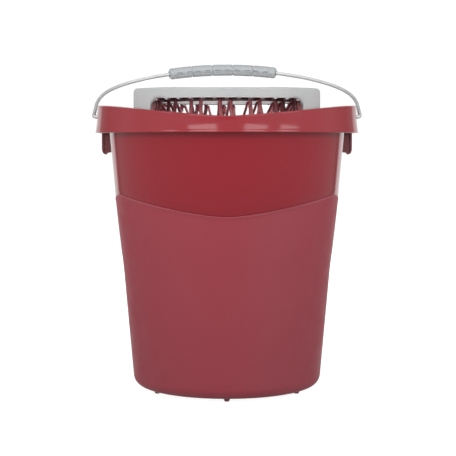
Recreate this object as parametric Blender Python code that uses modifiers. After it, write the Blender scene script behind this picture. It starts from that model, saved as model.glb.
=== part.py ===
"""Round mop bucket with a lift-out finger wringer and a wire bail.

Metres, +Z up, origin on the floor at the bucket's axis. The front faces -Y, and azimuths are
counted from the front towards +X.
"""

import math

import bmesh
import bpy
from mathutils import Matrix

MM = 0.001

# Fits
SEAT_GAP = 0.3 * MM  # between pieces that rest on or meet each other
PIVOT_CLEARANCE = 0.5 * MM  # round the wire's ends in their bores
GRIP_CLEARANCE = 0.6 * MM  # round the wire inside the loose grip
BAIL_CLEARANCE = 0.7 * MM  # between the wire's arms and the widest part of the collar
LEG_CLEARANCE = 1.5 * MM  # between the wringer's legs and the bucket's inner wall

# Bucket wall: the drafts are the slopes of its three zones, from the base up
FOOT_HEIGHT = 3.0 * MM
BASE_RADIUS = 102.1 * MM
BASE_ROUND = 12.0 * MM
DIP_HEIGHT = 296.4 * MM  # top of the rim at the front and rear, above the floor
RIM_RISE = 13.5 * MM  # how much higher the rim is at the sides
SHOULDER_DROP = 88.4 * MM  # from the dip down to the end of the flare
FLARE_HEIGHT = 81.0 * MM
LOWER_DRAFT = math.radians(5.0)
FLARE_DRAFT = math.radians(5.95)
UPPER_DRAFT = math.radians(4.76)
WALL = 2.2 * MM
FLOOR = 2.6 * MM
RIM_WAVE = 1.3  # powers of the sine that shape the two waves: higher is a wider dip
PANEL_WAVE = 1.45

# Proud lower panel
PANEL_DROP = 103.4 * MM  # from the dip down to the panel's edge at the front
PANEL_RISE = 22.1 * MM
PANEL_PROUD = 0.6 * MM
PANEL_STEP = 1.2 * MM

# Collar that turns out and down from the rim
COLLAR_OVERHANG = 11.1 * MM
COLLAR_FLARE = 2.6 * MM
COLLAR_DROP = 16.4 * MM  # from the dip down to the collar's lower edge
COLLAR_WALL = 2.2 * MM
RIM_THICKNESS = 2.4 * MM
RIM_ROUND = 1.6 * MM

# Feet, bail lugs and wringer seats of the same moulding
FOOT_COUNT = 6
FOOT_RADIUS = 4.4 * MM
FOOT_TIP_RADIUS = 2.8 * MM
FOOT_INSET = 15.6 * MM
LUG_WIDTH = 24.0 * MM
LUG_DROP = 23.5 * MM  # from the collar's lower edge down to the lug's tip
LUG_INSET = 7.0 * MM  # from the collar's lower edge in to the lug's outer face
LUG_CHAMFER = 7.5 * MM
LUG_TIP_OFFSET = 3.8 * MM
SEAT_DROP = 38.4 * MM  # from the dip down to the seats
SEAT_REACH = 10.0 * MM
SEAT_WIDTH = 17.0 * MM
SEAT_HEIGHT = 12.0 * MM

# Wire bail: straight arms, round corners and a round crown
WIRE_RADIUS = 2.0 * MM
PIVOT_DROP = 12.1 * MM  # from the high rim down to the pivot axis
PIVOT_DEPTH = 9.0 * MM  # wire inside the collar's outer face
ELBOW_RADIUS = 4.0 * MM
ARM_LENGTH = 33.5 * MM
CORNER_RADIUS = 90.0 * MM
CROWN_RADIUS = 171.0 * MM
REST_LEAN = math.radians(23.5)  # above horizontal, towards the rear

# Grip: two half shells that meet in the plane of the bail
GRIP_SEGMENTS = 5
GRIP_PITCH = 24.4 * MM
GRIP_RADIUS = 6.8 * MM
GROOVE_DEPTH = 0.9 * MM
GROOVE_WIDTH = 2.0 * MM
GRIP_END_LENGTH = 3.7 * MM
GRIP_END_PROUD = 0.3 * MM
GRIP_SHIFT = 5.4 * MM  # to the left of centre, against the end of its travel

# Wringer frame: a cap with front and rear skirts that follow the wall, on four legs
FRAME_PROUD = 29.6 * MM  # top of the frame above the dip
FRAME_WALL = 3.0 * MM
FRAME_PLATE = 4.0 * MM
FRAME_ROUND = 2.8 * MM
SKIRT_DEPTH = 11.0 * MM
POUR_GAP = 24.8 * MM  # between the frame's straight sides and the bucket's inner wall
LEG_WIDTH = 21.0 * MM
LEG_RETURN = 21.0 * MM
WINDOW_ROUND = 9.9 * MM
SIDE_BORDER = 26.0 * MM  # from the frame's straight sides in to the mouth
THROAT_DEPTH = 13.0 * MM
THROAT_WALL = 2.5 * MM
BEAD_PROUD = 1.0 * MM
BEAD_HEIGHT = 1.5 * MM

# Finger basket
RING_WALL = 3.0 * MM
RING_HEIGHT = 8.0 * MM
FINGER_PAIRS = 16
PAIR_GAP = 0.8 * MM  # between the two fingers of a pair where they meet the cup
PATTERN_TURN = math.radians(-1.8)
FINGER_RADIUS = 1.7 * MM
FINGER_BEND = 2.4 * MM  # radius of the hairpin bends, to the middle of the strut
CONE_ANGLE = math.radians(30.0)  # inner struts from vertical
OUTER_BOW = 20.0 * MM
CUP_RADIUS = 31.0 * MM  # to the middle of the struts
CUP_HEIGHT = 9.0 * MM
CUP_WALL = 2.2 * MM
DRAIN_RADIUS = 5.0 * MM

# Facets
SHARP_ANGLE = math.radians(35)
BUCKET_COLUMNS = 64
ROUND_STEPS = 48

# Sizes that follow from the ones above
HIGH_RIM = DIP_HEIGHT + RIM_RISE
SHOULDER_HEIGHT = DIP_HEIGHT - SHOULDER_DROP
KNEE_HEIGHT = SHOULDER_HEIGHT - FLARE_HEIGHT
COLLAR_EDGE = DIP_HEIGHT - COLLAR_DROP
SEAT_TOP = DIP_HEIGHT - SEAT_DROP
PIVOT_HEIGHT = HIGH_RIM - PIVOT_DROP
FRAME_TOP = DIP_HEIGHT + FRAME_PROUD


def wall_radius(height):
    """Outer radius of the plain wall, without the proud panel."""
    zones = (
        (FOOT_HEIGHT, KNEE_HEIGHT, LOWER_DRAFT),
        (KNEE_HEIGHT, SHOULDER_HEIGHT, FLARE_DRAFT),
        (SHOULDER_HEIGHT, HIGH_RIM, UPPER_DRAFT),
    )
    radius = BASE_RADIUS
    for low, high, draft in zones:
        radius += (min(max(height, low), high) - low) * math.tan(draft)
    return radius


COLLAR_TOP_RADIUS = wall_radius(HIGH_RIM) + COLLAR_OVERHANG
COLLAR_LOW_RADIUS = COLLAR_TOP_RADIUS + COLLAR_FLARE
BAIL_HALF_WIDTH = COLLAR_LOW_RADIUS + BAIL_CLEARANCE + WIRE_RADIUS
CROWN_HALF_ANGLE = math.asin((BAIL_HALF_WIDTH - CORNER_RADIUS) / (CROWN_RADIUS - CORNER_RADIUS))
CROWN_CENTRE = ARM_LENGTH - (CROWN_RADIUS - CORNER_RADIUS) * math.cos(CROWN_HALF_ANGLE)
FRAME_RADIUS = wall_radius(SEAT_TOP) - WALL - LEG_CLEARANCE
FRAME_HALF_WIDTH = wall_radius(SEAT_TOP) - WALL - POUR_GAP
MOUTH_RADIUS = FRAME_HALF_WIDTH - SIDE_BORDER
THROAT_RADIUS = MOUTH_RADIUS + THROAT_WALL
THROAT_EDGE = FRAME_TOP - THROAT_DEPTH
RING_RADIUS = THROAT_RADIUS + SEAT_GAP
PAIR_HALF_ANGLE = math.asin((FINGER_RADIUS + PAIR_GAP / 2) / CUP_RADIUS)


# Scene set-up and small helpers


def clear_scene():
    for old in list(bpy.data.objects):
        bpy.data.objects.remove(old, do_unlink=True)


def new_collection(name, hidden=False):
    collection = bpy.data.collections.new(name)
    collection.hide_render = hidden
    bpy.context.scene.collection.children.link(collection)
    return collection


def plastic_or_metal(name, colour, roughness, metallic=0.0):
    material = bpy.data.materials.new(name)
    material.use_nodes = True
    shader = material.node_tree.nodes["Principled BSDF"]
    shader.inputs["Base Color"].default_value = (*colour, 1.0)
    shader.inputs["Roughness"].default_value = roughness
    shader.inputs["Metallic"].default_value = metallic
    return material


def place(name, data, collection, material=None, parent=None):
    obj = bpy.data.objects.new(name, data)
    collection.objects.link(obj)
    obj.parent = parent
    if material:
        data.materials.append(material)
    return obj


def axis_empty(name, collection, location=(0, 0, 0), lean=0.0, parent=None):
    empty = place(name, None, collection, parent=parent)
    empty.location = location
    empty.rotation_euler.x = lean
    return empty


def mesh_from(name, bm):
    bmesh.ops.recalc_face_normals(bm, faces=bm.faces)
    mesh = bpy.data.meshes.new(name)
    bm.to_mesh(mesh)
    bm.free()
    mesh.shade_smooth()
    mesh.set_sharp_from_angle(angle=SHARP_ANGLE)
    return mesh


def make_cutter(obj):
    obj.hide_render = True
    obj.display_type = "WIRE"
    return obj


def boolean(obj, other, operation):
    modifier = obj.modifiers.new(f"{operation.lower()} {other.name}", "BOOLEAN")
    modifier.operation = operation
    modifier.object = other
    modifier.solver = "EXACT"


def arc(centre, radius, start, end, steps):
    """Points of an arc in a plane, from the angle start to the angle end."""
    angles = (start + (end - start) * i / steps for i in range(steps + 1))
    return [(centre[0] + radius * math.cos(a), centre[1] + radius * math.sin(a)) for a in angles]


def outline_mesh(name, points, thickness):
    """A flat outline in XY, thickened equally both ways along Z."""
    curve = bpy.data.curves.new(name, "CURVE")
    curve.dimensions = "2D"
    curve.fill_mode = "BOTH"
    curve.extrude = thickness / 2
    spline = curve.splines.new("POLY")
    spline.points.add(len(points) - 1)
    for point, (x, y) in zip(spline.points, points):
        point.co = (x, y, 0, 1)
    spline.use_cyclic_u = True
    guide = bpy.data.objects.new(name, curve)
    bpy.context.scene.collection.objects.link(guide)
    graph = bpy.context.evaluated_depsgraph_get()
    flat = bpy.data.meshes.new_from_object(guide.evaluated_get(graph))
    bpy.data.objects.remove(guide)
    bm = bmesh.new()
    bm.from_mesh(flat)
    bmesh.ops.remove_doubles(bm, verts=bm.verts, dist=0.001 * MM)
    bmesh.ops.dissolve_limit(bm, angle_limit=math.radians(0.1), verts=bm.verts, edges=bm.edges)
    return mesh_from(name, bm)


def turned(name, profile, collection, material=None, parent=None, closed=True):
    """A turned piece: the profile is (radius, height) points that run down the outer side."""
    count = len(profile)
    edges = [(i, i + 1) for i in range(count - 1)]
    if closed:
        edges.append((count - 1, 0))
    mesh = bpy.data.meshes.new(name)
    mesh.from_pydata([(r, 0, z) for r, z in profile], edges, [])
    obj = place(name, mesh, collection, material, parent)
    screw = obj.modifiers.new("turn", "SCREW")
    screw.steps = ROUND_STEPS
    screw.render_steps = ROUND_STEPS
    screw.use_merge_vertices = True
    screw.merge_threshold = 0.01 * MM
    screw.use_smooth_shade = True
    return obj


# Bucket


def wave(azimuth, power):
    """0 at the front and rear, 1 at the sides."""
    return abs(math.sin(azimuth)) ** power


def base_corner(inset, floor_height):
    """The rounded corner between the floor and the wall, on a skin set in by inset."""
    radius = BASE_ROUND - inset
    centre_height = FOOT_HEIGHT + BASE_ROUND
    edge = wall_radius(centre_height) - inset / math.cos(LOWER_DRAFT)
    centre = (edge - radius / math.cos(LOWER_DRAFT), floor_height + radius)
    return arc(centre, radius, math.radians(-90), -LOWER_DRAFT, 4)


def bucket_profile(azimuth):
    """(radius, height) points from the middle of the underside, over the rim, to the floor inside."""
    rim = DIP_HEIGHT + RIM_RISE * wave(azimuth, RIM_WAVE)
    panel = DIP_HEIGHT - PANEL_DROP + PANEL_RISE * wave(azimuth, PANEL_WAVE)
    inner_corner = base_corner(WALL, FOOT_HEIGHT + FLOOR)
    skin = [(0, FOOT_HEIGHT)] + base_corner(0, FOOT_HEIGHT)
    skin += [(wall_radius(z), z) for z in (KNEE_HEIGHT,)]
    skin.append((wall_radius(panel) + PANEL_PROUD, panel))
    skin += [(wall_radius(z), z) for z in (panel + PANEL_STEP, COLLAR_EDGE, rim - RIM_THICKNESS)]
    collar = [
        (COLLAR_TOP_RADIUS - COLLAR_WALL, rim - RIM_THICKNESS),
        (COLLAR_LOW_RADIUS - COLLAR_WALL, COLLAR_EDGE),
        (COLLAR_LOW_RADIUS, COLLAR_EDGE),
    ]
    collar += arc(
        (COLLAR_TOP_RADIUS - RIM_ROUND, rim - RIM_ROUND), RIM_ROUND, 0, math.radians(90), 2
    )
    inner_rim = wall_radius(rim) - WALL
    collar += arc(
        (inner_rim + RIM_ROUND, rim - RIM_ROUND), RIM_ROUND, math.radians(90), math.radians(180), 2
    )
    inside = [(wall_radius(z) - WALL, z) for z in (COLLAR_EDGE, SHOULDER_HEIGHT, KNEE_HEIGHT)]
    return skin + collar + inside + inner_corner[::-1] + [(0, FOOT_HEIGHT + FLOOR)]


def lofted_shell(name):
    """The bucket's shell, lofted round the axis because its rim and its panel's edge wave."""
    bm = bmesh.new()
    columns = []
    first, *_, last = bucket_profile(0)
    bottom = bm.verts.new((0, 0, first[1]))
    inside = bm.verts.new((0, 0, last[1]))
    for i in range(BUCKET_COLUMNS):
        azimuth = 2 * math.pi * i / BUCKET_COLUMNS
        side, depth = math.sin(azimuth), -math.cos(azimuth)
        points = bucket_profile(azimuth)[1:-1]
        column = [bm.verts.new((r * side, r * depth, z)) for r, z in points]
        columns.append([bottom, *column, inside])
    for here, there in zip(columns, columns[1:] + columns[:1]):
        for low_a, high_a, low_b, high_b in zip(here, here[1:], there, there[1:]):
            corners = dict.fromkeys((low_a, low_b, high_b, high_a))
            bm.faces.new(list(corners))
    return mesh_from(name, bm)


def add_foot(bm, azimuth):
    top = FOOT_HEIGHT + FLOOR / 2
    spot = BASE_RADIUS - FOOT_INSET
    place_at = Matrix.Translation((spot * math.sin(azimuth), -spot * math.cos(azimuth), top / 2))
    bmesh.ops.create_cone(
        bm, cap_ends=True, segments=12, depth=top, matrix=place_at,
        radius1=FOOT_TIP_RADIUS, radius2=FOOT_RADIUS,
    )


def seat_azimuths():
    """The middles of the wringer's four legs, where the seats stand."""
    window = math.asin((FRAME_HALF_WIDTH - LEG_WIDTH) / FRAME_RADIUS)
    corner = math.asin(FRAME_HALF_WIDTH / FRAME_RADIUS)
    middle = (window + corner) / 2
    return (middle, math.pi - middle, math.pi + middle, -middle)


def add_seat(bm, azimuth):
    """A block that stands in from the wall and is buried half a wall deep in it."""
    outer = wall_radius(SEAT_TOP - SEAT_HEIGHT) - WALL / 2
    depth = SEAT_REACH + WALL / 2
    turn = Matrix.Rotation(azimuth, 4, "Z")
    shift = Matrix.Translation((0, depth / 2 - outer, SEAT_TOP - SEAT_HEIGHT / 2))
    scale = Matrix.Diagonal((SEAT_WIDTH, depth, SEAT_HEIGHT, 1))
    bmesh.ops.create_cube(bm, size=1, matrix=turn @ shift @ scale)


def lug_mesh(side):
    """The lug that holds one end of the bail, from under the rim to its slanted tip."""
    outer = COLLAR_LOW_RADIUS - LUG_INSET
    tip = COLLAR_EDGE - LUG_DROP
    root = wall_radius(tip) - WALL / 2
    top = HIGH_RIM - RIM_THICKNESS / 2
    buried = COLLAR_TOP_RADIUS - COLLAR_WALL / 2
    points = [
        (root, tip + LUG_TIP_OFFSET),
        (outer - LUG_TIP_OFFSET, tip),
        (outer, tip + LUG_CHAMFER),
        (outer, COLLAR_EDGE),
        (buried, COLLAR_EDGE + COLLAR_DROP / 2),
        (buried, top),
        (wall_radius(top) - WALL / 2, top),
    ]
    mesh = outline_mesh("bail_lug", points, LUG_WIDTH)
    stand = Matrix.Rotation(math.radians(90), 4, "X")
    turn = Matrix.Rotation(0 if side > 0 else math.pi, 4, "Z")
    mesh.transform(turn @ stand)
    return mesh


def build_bucket(parts, cutters, material):
    shell = place("bucket_shell", lofted_shell("bucket_shell"), parts, material)
    bm = bmesh.new()
    for i in range(FOOT_COUNT):
        add_foot(bm, 2 * math.pi * i / FOOT_COUNT)
    for azimuth in seat_azimuths():
        add_seat(bm, azimuth)
    for side in (1, -1):
        bm.from_mesh(lug_mesh(side))
    details = make_cutter(place("moulded_details", mesh_from("moulded_details", bm), cutters))
    boolean(shell, details, "UNION")

    bores = bmesh.new()
    depth = PIVOT_DEPTH + PIVOT_CLEARANCE
    for side in (1, -1):
        middle = side * (COLLAR_LOW_RADIUS + COLLAR_FLARE / 2 - depth / 2)
        lay = Matrix.Rotation(math.radians(90), 4, "Y")
        bmesh.ops.create_cone(
            bores, cap_ends=True, segments=16, depth=depth + COLLAR_FLARE,
            radius1=WIRE_RADIUS + PIVOT_CLEARANCE, radius2=WIRE_RADIUS + PIVOT_CLEARANCE,
            matrix=Matrix.Translation((middle, 0, PIVOT_HEIGHT)) @ lay,
        )
    cut = make_cutter(place("pivot_bores", mesh_from("pivot_bores", bores), cutters))
    boolean(shell, cut, "DIFFERENCE")
    return shell


# Bail and grip, in the bail's own plane: X across, Y from the pivot to the grip


def bail_route():
    """Points of the wire from its left end to its right end."""
    end = COLLAR_LOW_RADIUS - PIVOT_DEPTH
    elbow = (BAIL_HALF_WIDTH - ELBOW_RADIUS, ELBOW_RADIUS)
    corner = (BAIL_HALF_WIDTH - CORNER_RADIUS, ARM_LENGTH)
    right = [(end, 0)]
    right += arc(elbow, ELBOW_RADIUS, math.radians(-90), 0, 3)
    right += arc(corner, CORNER_RADIUS, 0, math.radians(90) - CROWN_HALF_ANGLE, 7)
    half = math.radians(90) - CROWN_HALF_ANGLE
    right += arc((0, CROWN_CENTRE), CROWN_RADIUS, half, math.radians(90), 12)[1:]
    left = [(-x, y) for x, y in right[:-1]]
    return left + right[::-1]


def build_bail(parts, material, pivot):
    curve = bpy.data.curves.new("bail_wire", "CURVE")
    curve.dimensions = "3D"
    curve.bevel_depth = WIRE_RADIUS
    curve.bevel_resolution = 2
    curve.use_fill_caps = True
    route = bail_route()
    spline = curve.splines.new("POLY")
    spline.points.add(len(route) - 1)
    for point, (x, y) in zip(spline.points, route):
        point.co = (x, y, 0, 1)
    return place("bail_wire", curve, parts, material, pivot)


def grip_stations():
    """(distance along the crown, outer radius) from end to end, counted from the grip's middle."""
    half = GRIP_SEGMENTS * GRIP_PITCH / 2
    groove = GRIP_RADIUS - GROOVE_DEPTH
    stations = [(-half - GRIP_END_LENGTH, groove)]
    stations.append((-half - GRIP_END_LENGTH + GROOVE_DEPTH, GRIP_RADIUS + GRIP_END_PROUD))
    stations.append((-half - GROOVE_WIDTH / 2, GRIP_RADIUS + GRIP_END_PROUD))
    for i in range(GRIP_SEGMENTS):
        start = -half + i * GRIP_PITCH
        stations.append((start, groove))
        stations.append((start + GROOVE_WIDTH / 2, GRIP_RADIUS))
        stations.append((start + GRIP_PITCH / 2, GRIP_RADIUS))
        stations.append((start + GRIP_PITCH - GROOVE_WIDTH / 2, GRIP_RADIUS))
    stations.append((half, groove))
    stations += [(-s, radius) for s, radius in stations[2::-1]]
    return stations


def half_circle(radius, count):
    """Angles round half of a tube, from seam to seam, clear of the seam's gap."""
    start = math.asin(SEAT_GAP / 2 / radius)
    return [start + (math.pi - 2 * start) * i / (count - 1) for i in range(count)]


def grip_half_mesh(name, side):
    """One half shell, lofted along the crown's arc, above (1) or below (-1) the bail's plane."""
    bm = bmesh.new()
    bore = WIRE_RADIUS + GRIP_CLEARANCE
    rings = []
    for along, radius in grip_stations():
        turn = along / CROWN_RADIUS
        section = [(radius, a) for a in half_circle(radius, 7)]
        section += [(bore, a) for a in half_circle(bore, 5)[::-1]]
        ring = []
        for r, a in section:
            reach = CROWN_RADIUS + r * math.cos(a)
            height = side * r * math.sin(a)
            ring.append(bm.verts.new((reach * math.sin(turn), reach * math.cos(turn), height)))
        rings.append(ring)
    for here, there in zip(rings, rings[1:]):
        for i in range(len(here)):
            bm.faces.new((here[i - 1], here[i], there[i], there[i - 1]))
    bm.faces.new(rings[0])
    bm.faces.new(rings[-1])
    return mesh_from(name, bm)


def build_grip(parts, material, pivot):
    slide = axis_empty("grip_slide", parts, (0, CROWN_CENTRE, 0), parent=pivot)
    slide.rotation_euler.z = GRIP_SHIFT / CROWN_RADIUS
    for name, side in (("grip_upper", 1), ("grip_lower", -1)):
        place(name, grip_half_mesh(name, side), parts, material, slide)


# Wringer


def frame_outline(inset):
    """Front and rear arcs round the bucket's axis, cut off by straight sides."""
    radius = FRAME_RADIUS - inset
    half_width = FRAME_HALF_WIDTH - inset
    corner = math.acos(half_width / radius)
    rear = arc((0, 0), radius, corner, math.pi - corner, 14)
    front = [(-x, -y) for x, y in rear]
    return rear + front


def window_outline(half_width, low, high):
    """An upright opening with rounded upper corners."""
    edge = half_width - WINDOW_ROUND
    crown = high - WINDOW_ROUND
    points = [(-half_width, low), (half_width, low)]
    points += arc((edge, crown), WINDOW_ROUND, 0, math.radians(90), 4)
    points += arc((-edge, crown), WINDOW_ROUND, math.radians(90), math.radians(180), 4)
    return points


def mark_rounded_edges(mesh, low):
    """Gives a bevel weight to the sharp edges that reach above low, so that the legs' feet stay square."""
    bm = bmesh.new()
    bm.from_mesh(mesh)
    weight = bm.edges.layers.float.new("bevel_weight_edge")
    for edge in bm.edges:
        above = max(corner.co.z for corner in edge.verts) > low
        edge[weight] = float(above and edge.calc_face_angle() > SHARP_ANGLE)
    bm.to_mesh(mesh)
    bm.free()


def build_frame(parts, cutters, material, lift):
    """The cap, its four legs and its throat, modelled from the seats up."""
    legs = SEAT_TOP + SEAT_GAP
    height = FRAME_TOP - legs
    block = outline_mesh("wringer_frame", frame_outline(0), height)
    block.transform(Matrix.Translation((0, 0, legs + height / 2)))
    mark_rounded_edges(block, legs + SEAT_GAP)
    frame = place("wringer_frame", block, parts, material, lift)
    rounding = frame.modifiers.new("rounded edges", "BEVEL")
    rounding.width = FRAME_ROUND
    rounding.segments = 3
    rounding.limit_method = "WEIGHT"

    hollow_height = height - FRAME_PLATE + SEAT_HEIGHT
    hollow = outline_mesh("frame_hollow", frame_outline(FRAME_WALL), hollow_height)
    middle = FRAME_TOP - FRAME_PLATE - hollow_height / 2
    hollow.transform(Matrix.Translation((0, 0, middle)))
    boolean(frame, make_cutter(place("frame_hollow", hollow, cutters)), "DIFFERENCE")

    low, high = legs - SEAT_HEIGHT, FRAME_TOP - SKIRT_DEPTH
    stand = Matrix.Rotation(math.radians(90), 4, "X")
    front_half = FRAME_HALF_WIDTH - LEG_WIDTH
    front = outline_mesh("front_windows", window_outline(front_half, low, high), 3 * FRAME_RADIUS)
    front.transform(stand)
    boolean(frame, make_cutter(place("front_windows", front, cutters)), "DIFFERENCE")
    corner_depth = math.sqrt(FRAME_RADIUS**2 - FRAME_HALF_WIDTH**2)
    side_half = corner_depth - LEG_RETURN
    sides = outline_mesh("side_windows", window_outline(side_half, low, high), 3 * FRAME_RADIUS)
    sides.transform(Matrix.Rotation(math.radians(90), 4, "Z") @ stand)
    boolean(frame, make_cutter(place("side_windows", sides, cutters)), "DIFFERENCE")

    plate_middle = FRAME_TOP - FRAME_PLATE / 2
    throat = turned("throat", [
        (THROAT_RADIUS, plate_middle),
        (THROAT_RADIUS, THROAT_EDGE + BEAD_HEIGHT + BEAD_PROUD),
        (THROAT_RADIUS + BEAD_PROUD, THROAT_EDGE + BEAD_HEIGHT),
        (THROAT_RADIUS + BEAD_PROUD, THROAT_EDGE),
        (MOUTH_RADIUS - THROAT_WALL, THROAT_EDGE),
        (MOUTH_RADIUS - THROAT_WALL, plate_middle),
    ], cutters)
    boolean(frame, make_cutter(throat), "UNION")
    mouth = turned("mouth", [
        (0, FRAME_TOP + FRAME_PLATE),
        (MOUTH_RADIUS + FRAME_ROUND, FRAME_TOP + FRAME_PLATE),
        (MOUTH_RADIUS + FRAME_ROUND, FRAME_TOP),
        (MOUTH_RADIUS, FRAME_TOP - FRAME_ROUND),
        (MOUTH_RADIUS, THROAT_EDGE - FRAME_PLATE),
        (0, THROAT_EDGE - FRAME_PLATE),
    ], cutters, closed=False)
    boolean(frame, make_cutter(mouth), "DIFFERENCE")


def build_ring(parts, material, lift):
    """The basket's ring, snapped over the bead at the foot of the throat."""
    groove = THROAT_RADIUS + BEAD_PROUD + SEAT_GAP
    seat = THROAT_EDGE + BEAD_HEIGHT + SEAT_GAP
    low = THROAT_EDGE
    outer = groove + RING_WALL
    turned("basket_ring", [
        (outer, low + RING_HEIGHT),
        (outer, low),
        (groove, low),
        (groove, seat),
        (RING_RADIUS, seat + BEAD_PROUD),
        (RING_RADIUS, low + RING_HEIGHT),
    ], parts, material, lift)
    return (groove + outer) / 2, low - SEAT_GAP


def finger_route(root_radius, root_height):
    """One hairpin finger in its radial plane, as (radius, height): outer strut, bend, inner strut."""
    slope = (math.sin(CONE_ANGLE), math.cos(CONE_ANGLE))
    top = (root_radius, root_height - FINGER_RADIUS - FINGER_BEND)
    length = (top[0] - CUP_RADIUS - FINGER_BEND) / slope[0]
    foot = (top[0] - length * slope[0], top[1] - length * slope[1])
    low = foot[1] - FINGER_BEND - FINGER_RADIUS
    route = [(CUP_RADIUS - FINGER_RADIUS, low), (foot[0] + FINGER_RADIUS, low)]
    for share in (0.25, 0.5, 0.75):
        bow = OUTER_BOW * math.sin(math.pi * share) ** 0.8
        radius = foot[0] + length * slope[0] * share + bow * slope[1]
        height = foot[1] + length * slope[1] * share - bow * slope[0]
        route.append((radius + FINGER_BEND, height))
    inward = math.pi - CONE_ANGLE
    route += arc(top, FINGER_BEND, 0, inward, 3)
    route += arc(foot, FINGER_BEND, inward, math.pi, 1)
    return route


def build_fingers(parts, material, lift, root_radius, root_height):
    """Hairpins drawn flat, stood up in their radial planes and set round the ring in pairs."""
    curve = bpy.data.curves.new("finger", "CURVE")
    curve.dimensions = "3D"
    curve.twist_mode = "Z_UP"
    curve.bevel_depth = FINGER_RADIUS
    curve.bevel_resolution = 1
    curve.use_fill_caps = True
    curve.materials.append(material)
    route = finger_route(root_radius, root_height)
    spline = curve.splines.new("POLY")
    spline.points.add(len(route) - 1)
    for point, (radius, height) in zip(spline.points, route):
        point.co = (radius, height, 0, 1)
    for i in range(2 * FINGER_PAIRS):
        pair, side = divmod(i, 2)
        azimuth = PATTERN_TURN + 2 * math.pi * pair / FINGER_PAIRS
        azimuth += PAIR_HALF_ANGLE * (1 if side else -1)
        finger = place(f"finger_{i + 1:02d}", curve, parts, None, lift)
        finger.rotation_euler = (math.radians(90), 0, azimuth - math.radians(90))
    return min(height for _, height in route) - FINGER_RADIUS


def build_cup(parts, material, lift, finger_foot):
    """The dish that the fingers' lower ends meet, with a drain in its floor."""
    outer = CUP_RADIUS - FINGER_RADIUS - SEAT_GAP
    top = finger_foot + CUP_HEIGHT
    turned("basket_cup", [
        (outer, top),
        (outer, finger_foot),
        (DRAIN_RADIUS, finger_foot),
        (DRAIN_RADIUS, finger_foot + CUP_WALL),
        (outer - CUP_WALL, finger_foot + CUP_WALL),
        (outer - CUP_WALL, top),
    ], parts, material, lift)


def main():
    clear_scene()
    parts = new_collection("mop_bucket_with_wringer")
    cutters = new_collection("cutters", hidden=True)
    red = plastic_or_metal("bucket_red", (0.29, 0.03, 0.04), 0.35)
    finger_red = plastic_or_metal("finger_red", (0.30, 0.04, 0.05), 0.45)
    grey = plastic_or_metal("wringer_grey", (0.52, 0.54, 0.54), 0.5)
    grip_grey = plastic_or_metal("grip_grey", (0.48, 0.50, 0.51), 0.55)
    steel = plastic_or_metal("bail_steel", (0.62, 0.63, 0.63), 0.35, 0.9)

    build_bucket(parts, cutters, red)

    pivot = axis_empty("bail_pivot", parts, (0, 0, PIVOT_HEIGHT), REST_LEAN)
    build_bail(parts, steel, pivot)
    build_grip(parts, grip_grey, pivot)

    lift = axis_empty("wringer_lift", parts)
    build_frame(parts, cutters, grey, lift)
    root_radius, root_height = build_ring(parts, finger_red, lift)
    finger_foot = build_fingers(parts, finger_red, lift, root_radius, root_height)
    build_cup(parts, finger_red, lift, finger_foot)


main()
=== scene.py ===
"""Looks of a round mop bucket with a lift-out finger wringer and a wire bail.

Metres, in the frame of the solids: +Z up, origin on the floor at the bucket's axis, the front
faces -Y, and azimuths are counted from the front towards +X.
"""

from math import asin, atan, atan2, cos, degrees, hypot, pi, radians, sin, sqrt, tan

import bmesh
import bpy
from mathutils import Matrix, Vector


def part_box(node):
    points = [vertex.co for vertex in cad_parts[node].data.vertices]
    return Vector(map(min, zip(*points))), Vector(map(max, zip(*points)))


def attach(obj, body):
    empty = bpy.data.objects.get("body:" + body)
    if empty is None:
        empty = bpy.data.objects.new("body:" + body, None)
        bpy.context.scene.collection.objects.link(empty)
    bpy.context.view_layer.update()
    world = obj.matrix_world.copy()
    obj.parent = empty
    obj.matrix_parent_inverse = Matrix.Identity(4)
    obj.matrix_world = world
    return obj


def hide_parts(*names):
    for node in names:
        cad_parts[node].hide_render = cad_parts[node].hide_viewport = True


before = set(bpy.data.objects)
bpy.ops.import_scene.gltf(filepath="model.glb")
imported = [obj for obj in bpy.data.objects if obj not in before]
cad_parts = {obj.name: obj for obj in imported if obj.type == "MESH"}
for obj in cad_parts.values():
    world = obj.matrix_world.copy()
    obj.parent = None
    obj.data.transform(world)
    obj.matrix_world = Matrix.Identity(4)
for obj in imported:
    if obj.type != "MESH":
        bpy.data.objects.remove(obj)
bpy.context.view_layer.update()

MM = 0.001

# Photograph: the camera's place and lens, for a square picture
PICTURE = 456
FOCAL_PIXELS = 1300
CAMERA_PLACE = (0.0012, -1.430, 0.270)
HORIZON_PIXELS = 85.6  # the horizon above the middle of the picture
SENSOR = 36.0

# Bucket, with the sizes of the solid
HIGH_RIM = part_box("bucket_shell")[1].z
FOOT_HEIGHT = 3.6 * MM
BASE_RADIUS = 102.1 * MM
BASE_ROUND = 12.0 * MM
RIM_RISE = 13.5 * MM
DIP_HEIGHT = HIGH_RIM - RIM_RISE
SHOULDER_HEIGHT = DIP_HEIGHT - 88.4 * MM
KNEE_HEIGHT = SHOULDER_HEIGHT - 81.0 * MM
LOWER_DRAFT = radians(5.0)
FLARE_DRAFT = radians(5.95)
UPPER_DRAFT = radians(4.76)
WALL = 2.2 * MM
FLOOR = 2.6 * MM
RIM_WAVE = 1.3
PANEL_WAVE = 1.45
PANEL_SOFTNESS = 0.08  # rounds the lowest point of that wave
PANEL_DIP = DIP_HEIGHT - 101.5 * MM
PANEL_RISE = 22.1 * MM
PANEL_SIDE_DROP = 7.4 * MM  # the panel's edge comes down again at the sides,
PANEL_DROP_SPAN = (66, 90)  # between these azimuths
PANEL_PROUD = 0.6 * MM
PANEL_GROW = 60 * MM  # the panel comes forward of the plain wall over this height
BEAD_PROUD = 0.95 * MM  # of the rolled edge along the top of the panel
BEAD_HEIGHT = 4.4 * MM
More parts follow.
